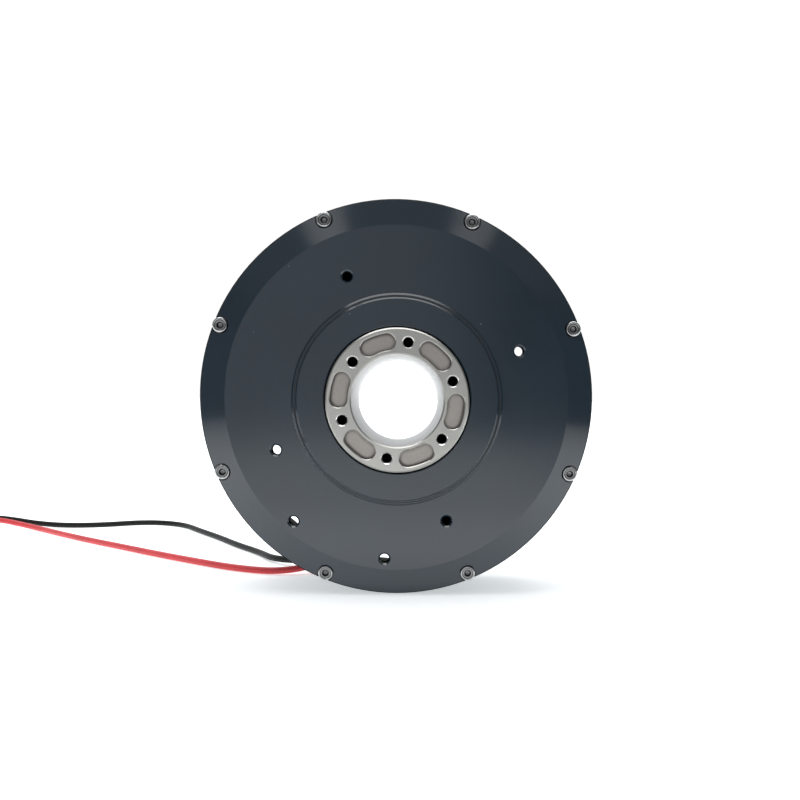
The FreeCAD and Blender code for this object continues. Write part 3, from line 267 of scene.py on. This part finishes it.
def steel(name, base=(0.60, 0.60, 0.61), rough=0.22, sockets=False):
    m = Mat(name)
    m.set(Metallic=1.0)
    cloud = m.noise(700.0, 3.0, 0.55)
    col = m.mix(m.remap(cloud, 0.3, 0.7, 0.0, 1.0), tuple(c * 0.86 for c in base), base)
    ro = m.remap(cloud, 0.3, 0.75, max(0.05, rough - 0.05), rough + 0.08)
    if sockets:
        # the rim screws: a darker face, with a painted dark ring at its edge for the dark reflection there and painted
        # shade on the hexagon walls, inside a polished edge, measured from the nearest of eight axes on the 98.2 mm
        # circle
        r, y = m.radius()
        sep = m.t.nodes.new("ShaderNodeSeparateXYZ")
        m.link(m.pos(), sep.inputs[0])
        ang = m.math("ARCTAN2", sep.outputs[2], sep.outputs[0])
        fold = m.math("PINGPONG", m.math("SUBTRACT", ang, math.radians(22.5)), math.radians(22.5))
        across = m.math("MULTIPLY", r, m.math("SINE", fold))
        along = m.math("SUBTRACT", m.math("MULTIPLY", r, m.math("COSINE", fold)), 0.0491)
        off = m.math("SQRT", m.math("ADD", m.math("MULTIPLY", across, across), m.math("MULTIPLY", along, along)))
        ends = m.math("MAXIMUM", m.remap(y, 0.0030, 0.0034, 1.0, 0.0), m.remap(y, 0.0285, 0.0288, 0.0, 1.0))
        face = m.math("MULTIPLY", m.remap(off, 0.00142, 0.00152, 1.0, 0.0), ends)
        walls = m.math("MULTIPLY", m.remap(off, 0.00092, 0.00100, 1.0, 0.0), m.remap(y, 0.00204, 0.00212, 0.0, 1.0))
        walls = m.math("MULTIPLY", walls, m.remap(y, 0.02956, 0.02964, 1.0, 0.0))
        # painted shade on the hexagon walls, leaving the socket's centre lighter
        deep_shade = m.math("MULTIPLY", m.remap(off, 0.00045, 0.00070, 0.0, 1.0), walls)
        # painted dark ring near the face's edge, standing in for the dark reflection of the rounded edge
        painted_ring_shade = m.math("MULTIPLY", m.remap(off, 0.00124, 0.00136, 0.0, 1.0), face)
        col = m.mix(face, col, (0.27, 0.275, 0.275))
        col = m.mix(m.math("MULTIPLY", painted_ring_shade, 0.8), col, (0.012, 0.012, 0.012))
        col = m.mix(deep_shade, col, (0.010, 0.010, 0.010))
        ro = m.math("ADD", ro, m.math("ADD", m.math("MULTIPLY", face, 0.12), m.math("MULTIPLY", walls, 0.2)))
    m.to("Base Color", col)
    m.to("Roughness", ro)
    m.to("Normal", m.bump(cloud, 0.05, 0.00008))
    return m.m


def plastic(name, base, rough=0.45, grain=1500.0, strength=0.12, spec=0.5):
    m = Mat(name)
    m.set(Metallic=0.0)
    m.b.inputs["Specular IOR Level"].default_value = spec
    cloud = m.noise(120.0, 3.0, 0.5)
    fine = m.noise(grain, 2.0, 0.6)
    m.to("Base Color", m.mix(m.remap(cloud, 0.3, 0.7, 0.0, 1.0), tuple(c * 0.90 for c in base), tuple(min(1.0, c * 1.08) for c in base)))
    m.to("Roughness", m.remap(fine, 0.3, 0.7, rough - 0.04, rough + 0.06))
    m.to("Normal", m.bump(fine, strength, 0.00008))
    return m.m


MATS = {
    "anodised_black": anodised("anodised_black"),
    "silver_hub": silver("silver_hub"),
    "screw_steel": steel("screw_steel", (0.52, 0.53, 0.53), 0.18, True),
    "bearing_steel": steel("bearing_steel", (0.56, 0.57, 0.58), 0.16),
    "spring_steel": steel("spring_steel", (0.16, 0.16, 0.17), 0.35),
    "electrical_steel": steel("electrical_steel", (0.32, 0.33, 0.35), 0.4),
    "copper": steel("copper", (0.62, 0.22, 0.09), 0.28),
    "insulator": plastic("insulator", (0.72, 0.70, 0.62)),
    "cage_plastic": plastic("cage_plastic", (0.62, 0.50, 0.26)),
    "felt": plastic("felt", (0.010, 0.010, 0.011), 0.9, 5000.0, 0.6),
    "magnet_nickel": steel("magnet_nickel", (0.66, 0.64, 0.60), 0.18),
    "mild_steel": steel("mild_steel", (0.30, 0.30, 0.31), 0.35),
    "circuit_board": plastic("circuit_board", (0.012, 0.075, 0.040), 0.3, 900.0, 0.05),
    "brass": steel("brass", (0.70, 0.50, 0.20), 0.25),
    "chip_black": plastic("chip_black", (0.018, 0.018, 0.020), 0.5),
    "capacitor_can": steel("capacitor_can", (0.68, 0.68, 0.70), 0.25),
    "pad_grey": plastic("pad_grey", (0.25, 0.30, 0.34), 0.7),
    "connector_white": plastic("connector_white", (0.78, 0.76, 0.68), 0.4),
    "rubber_black": plastic("rubber_black", (0.012, 0.012, 0.012), 0.6, 2500.0, 0.2),
    "lead_red": plastic("lead_red", (0.70, 0.060, 0.070), 0.45, 1800.0, 0.08, 0.4),
    "lead_black": plastic("lead_black", (0.010, 0.0105, 0.0105), 0.50, 1800.0, 0.08, 0.22),
    "plug_nylon": plastic("plug_nylon", (0.70, 0.66, 0.52), 0.42),
}
slot_of = {s["node"]: s["material_slot"] for s in frame["record"]["subparts"]}
for name, o in nodes.items():
    o.data.materials.clear()
    o.data.materials.append(MATS[slot_of[name]])

# ---------------------------------------------------------------------------
# socket head cap screws: rounded head edge, countersunk hexagon socket, shank
# ---------------------------------------------------------------------------
def screw_rings(head_r, head_y, length, shank_r, af, depth, fillet, n=72):
    """Rings of (radius function, y) from the bottom of the socket outwards and down to the shank's end, for a screw facing -Y."""
    def hexr(t):
        k = (t + math.pi / 6) % (math.pi / 3) - math.pi / 6
        return af / 2 / math.cos(k)
    pocket_wall_shade = af / math.sqrt(3)
    entry = pocket_wall_shade * 1.10
    dish = head_r - fillet - 0.10
    rings = [(lambda t: 0.25 * pocket_wall_shade, depth + 0.16), (lambda t: 0.80 * af / 2, depth + 0.06), (lambda t: hexr(t) - 0.04, depth),
             (lambda t: hexr(t), depth - 0.05), (lambda t: hexr(t), depth * 0.55), (lambda t: hexr(t), None), (lambda t: entry, 0.10)]
    # the face lies slightly below the rounded edge
    rings += [(lambda t, q=q: q, 0.10) for q in (entry + 0.04, (entry + dish) / 2, dish - 0.04)]
    rings += [(lambda t: dish, 0.09), (lambda t: dish + 0.10, 0.0)]
    for i in range(9):
        a = math.pi / 2 * i / 8
        rings.append((lambda t, q=head_r - fillet + 0.02 + (fillet - 0.02) * math.sin(a): q, fillet * (1 - math.cos(a))))
    rings += [(lambda t: head_r, head_y - 0.15), (lambda t: head_r - 0.12, head_y), (lambda t: shank_r, head_y),
              (lambda t: shank_r, head_y + length - 0.3), (lambda t: shank_r * 0.75, head_y + length)]
    return rings, hexr, entry


def screw_set(name, node, centres, side, y_top, head_r, head_y, length, shank_r, af, depth, fillet, mat):
    """All the screws of one set as one mesh. centres are (x, z, socket turn); side is -1 for heads that face -Y, 1 for +Y. Millimetres."""
    n = 72
    bm = bmesh.new()
    rings, hexr, entry = screw_rings(head_r, head_y, length, shank_r, af, depth, fillet, n)
    for cx, cz, turn in centres:
        rows = []
        for fr, y in rings:
            row = []
            for i in range(n):
                t = 2 * math.pi * i / n
                r = fr(t)
                yy = 0.10 + (entry - r) * 0.55 if y is None else y
                yy = y_top - side * yy
                row.append(bm.verts.new(((cx + r * math.cos(t + turn)) / 1000, yy / 1000, (cz + r * math.sin(t + turn)) / 1000)))
            rows.append(row)
        for a, b in zip(rows, rows[1:]):
            for i in range(n):
                j = (i + 1) % n
                bm.faces.new((a[i], a[j], b[j], b[i]))
        bm.faces.new(rows[0])
        bm.faces.new(list(reversed(rows[-1])))
    bmesh.ops.recalc_face_normals(bm, faces=bm.faces)
    me = bpy.data.meshes.new(name)
    bm.to_mesh(me)
    bm.free()
    me.polygons.foreach_set("use_smooth", [True] * len(me.polygons))
    me.set_sharp_from_angle(angle=math.radians(32))
    me.materials.append(mat)
    ob = bpy.data.objects.new(name, me)
    scene.collection.objects.link(ob)
    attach(ob, "housing")
    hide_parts(node)
    return ob


def on_circle(rad, angles, turns):
    return [(rad * math.cos(math.radians(a)), rad * math.sin(math.radians(a)), math.radians(t)) for a, t in zip(angles, turns)]


RIM = [22.5 + 45.0 * k for k in range(8)]
screw_set("front_rim_screw_set", "front_rim_screws", on_circle(49.1, RIM, (11, 0, 28, 8, 17, 40, 33, 5)), -1, 1.9, 1.98, 2.0, 8.0, 1.0, 1.6, 0.9, 0.42,
          MATS["screw_steel"])
screw_set("rear_rim_screw_set", "rear_rim_screws", on_circle(49.1, RIM, (24, 9, 50, 31, 2, 44, 15, 37)), 1, 29.8, 1.98, 1.8, 8.0, 1.0, 1.6, 0.9, 0.42,
          MATS["screw_steel"])

# ---------------------------------------------------------------------------
# power leads: the routes of the CAD tubes, as smooth NURBS lines
# ---------------------------------------------------------------------------
RED_ROUTE = [(-11.95, 33.0, -24.93), (-14.25, 33.0, -30.47), (-17.0, 32.9, -38.6), (-21.6, 32.3, -48.2), (-33.5, 27.0, -50.0),
             (-47.9, 32.9, -50.0), (-61.6, 43.8, -50.0), (-77.5, 57.2, -50.0), (-92.6, 71.0, -50.0), (-108.2, 84.8, -50.0),
             (-122.8, 99.0, -50.0), (-138.0, 114.6, -50.0), (-157.0, 123.25, -47.8), (-168.0, 123.25, -47.8)]
BLACK_ROUTE = [(-9.17, 33.0, -26.07), (-11.47, 33.0, -31.61), (-14.4, 33.9, -39.3), (-19.5, 36.5, -46.4), (-28.4, 39.5, -48.9),
               (-38.6, 46.5, -49.6), (-44.8, 60.4, -50.0), (-54.5, 74.7, -50.0), (-64.0, 91.5, -50.0), (-74.2, 107.3, -50.0),
               (-84.2, 124.1, -50.0), (-100.0, 131.0, -50.0), (-117.8, 120.2, -50.0), (-136.6, 121.3, -50.0),
               (-157.0, 127.75, -47.8), (-168.0, 127.75, -47.8)]
LEAD_D = 0.0020


def lead(name, route, mat, node):
    cu = bpy.data.curves.new(name, "CURVE")
    cu.dimensions = "3D"
    sp = cu.splines.new("NURBS")
    sp.points.add(len(route) - 1)
    for p, c in zip(sp.points, route):
        p.co = (c[0] / 1000.0, c[1] / 1000.0, c[2] / 1000.0, 1.0)
    sp.order_u = 3
    sp.use_endpoint_u = True
    sp.resolution_u = 16
    cu.bevel_depth = LEAD_D / 2
    cu.bevel_resolution = 8
    cu.use_fill_caps = True
    ob = bpy.data.objects.new(name, cu)
    scene.collection.objects.link(ob)
    cu.materials.append(mat)
    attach(ob, "housing")
    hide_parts(node)
    return ob


red = lead("red_lead_wire", RED_ROUTE, MATS["lead_red"], "red_lead")
black = lead("black_lead_wire", BLACK_ROUTE, MATS["lead_black"], "black_lead")

# ---------------------------------------------------------------------------
# floor, light
# ---------------------------------------------------------------------------
fl = bpy.data.meshes.new("floor")
fl.from_pydata([(-0.42, -0.82, 0), (0.36, -0.82, 0), (0.36, 0.0, 0), (4.0, 3.0, 0), (4.0, 7.0, 0), (-4.0, 7.0, 0), (-4.0, 3.0, 0), (-0.42, 0.0, 0)], [],
               [(0, 1, 2, 7), (7, 2, 3, 6), (6, 3, 4, 5)])
floor = bpy.data.objects.new("floor", fl)
floor.location = (0, 0, FLOOR - 0.00002)
scene.collection.objects.link(floor)
fm = Mat("floor")
fm.set(Roughness=0.7, Base_Color=(0.86, 0.86, 0.86, 1.0), Emission_Color=(0.94, 0.985, 1.0, 1.0))
fm.b.inputs["Specular IOR Level"].default_value = 0.15
sepf = fm.t.nodes.new("ShaderNodeSeparateXYZ")
fm.link(fm.pos(), sepf.inputs[0])
dist = fm.math("SQRT", fm.math("ADD", fm.math("MULTIPLY", sepf.outputs[0], sepf.outputs[0]), fm.math("MULTIPLY", sepf.outputs[1], sepf.outputs[1])))
# the floor glows as painted fill light; the glow is weakest right at the contact, a painted contact shadow
painted_fill_glow = fm.math("ADD", fm.remap(dist, 0.05, 0.17, 0.50, 0.80, True), fm.remap(dist, 0.16, 0.90, 0.0, 0.25, True))
# painted shade: less glow on the floor in front of the object
painted_fill_glow = fm.math("SUBTRACT", painted_fill_glow, fm.remap(sepf.outputs[1], -0.21, -0.05, 0.56, 0.0, True))
# painted shade: a further drop of the glow close in front, growing towards the sides
front = fm.remap(sepf.outputs[1], -0.07, -0.02, 1.0, 0.0, True)
side = fm.math("ABSOLUTE", fm.math("ADD", sepf.outputs[0], 0.02), 0.0)
wide = fm.math("ADD", fm.remap(side, 0.085, 0.135, 0.0, 0.26), fm.remap(side, 0.135, 0.30, 0.0, 0.20))
fm.to("Emission Strength", fm.math("SUBTRACT", painted_fill_glow, fm.math("MULTIPLY", front, wide)))
fl.materials.append(fm.m)

world = bpy.data.worlds.new("studio")
scene.world = world
world.use_nodes = True
wt = world.node_tree
for n in list(wt.nodes):
    wt.nodes.remove(n)
wout = wt.nodes.new("ShaderNodeOutputWorld")
lp = wt.nodes.new("ShaderNodeLightPath")
cam_bg = wt.nodes.new("ShaderNodeBackground")
env_bg = wt.nodes.new("ShaderNodeBackground")
mixw = wt.nodes.new("ShaderNodeMixShader")
tc = wt.nodes.new("ShaderNodeTexCoord")
sp = wt.nodes.new("ShaderNodeSeparateXYZ")
wt.links.new(tc.outputs["Generated"], sp.inputs[0])


def wmap(src, a, b, c, d, smooth=True):
    mr = wt.nodes.new("ShaderNodeMapRange")
    if smooth:
        mr.interpolation_type = "SMOOTHSTEP"
    for k, v in zip(("From Min", "From Max", "To Min", "To Max"), (a, b, c, d)):
        mr.inputs[k].default_value = v
    wt.links.new(src, mr.inputs["Value"])
    return mr.outputs["Result"]


def wmath(op, a, b):
    mm = wt.nodes.new("ShaderNodeMath")
    mm.operation = op
    for i, x in enumerate((a, b)):
        if isinstance(x, (int, float)):
            mm.inputs[i].default_value = x
        else:
            wt.links.new(x, mm.inputs[i])
    return mm.outputs[0]


cam_bg.inputs[0].default_value = (1.0, 1.0, 1.0, 1)
cam_bg.inputs[1].default_value = 1.05
# the room: dim, with a soft patch low in front to the left; bright behind the object
patch = wmath("MULTIPLY", wmap(sp.outputs[0], -0.01, 0.15, 0.34, 0.0), wmap(sp.outputs[2], 0.26, 0.52, 1.0, 0.0))
patch = wmath("MULTIPLY", patch, wmap(sp.outputs[0], -0.62, -0.30, 0.15, 1.0))
back = wmap(sp.outputs[1], -0.10, 0.60, 0.0, 0.80)
level = wmath("ADD", wmath("ADD", patch, back), wmap(sp.outputs[2], 0.35, 0.62, 0.155, 0.27))
wt.links.new(level, env_bg.inputs[1])
env_bg.inputs[0].default_value = (0.95, 0.98, 1.0, 1)
wt.links.new(lp.outputs["Is Camera Ray"], mixw.inputs[0])
wt.links.new(env_bg.outputs[0], mixw.inputs[1])
wt.links.new(cam_bg.outputs[0], mixw.inputs[2])
wt.links.new(mixw.outputs[0], wout.inputs[0])


def area(name, loc, target, sx, sy, watts, colour=(1, 1, 1)):
    ld = bpy.data.lights.new(name, "AREA")
    ld.shape = "RECTANGLE"
    ld.size, ld.size_y = sx, sy
    ld.energy = watts
    ld.color = colour
    ob = bpy.data.objects.new(name, ld)
    ob.location = loc
    ob.rotation_mode = "QUATERNION"
    ob.rotation_quaternion = (Vector(target) - Vector(loc)).to_track_quat("-Z", "Y")
    scene.collection.objects.link(ob)
    return ob


area("overhead", (-0.03, 0.10, 1.0), (0, 0.03, 0), 1.15, 0.80, 9.4)
area("soft_left", (-0.43, -0.65, 1.0), (0, 0, 0), 0.20, 0.20, 0.11)
area("soft_right", (0.43, -0.65, 1.0), (0, 0, 0), 0.20, 0.20, 0.09)
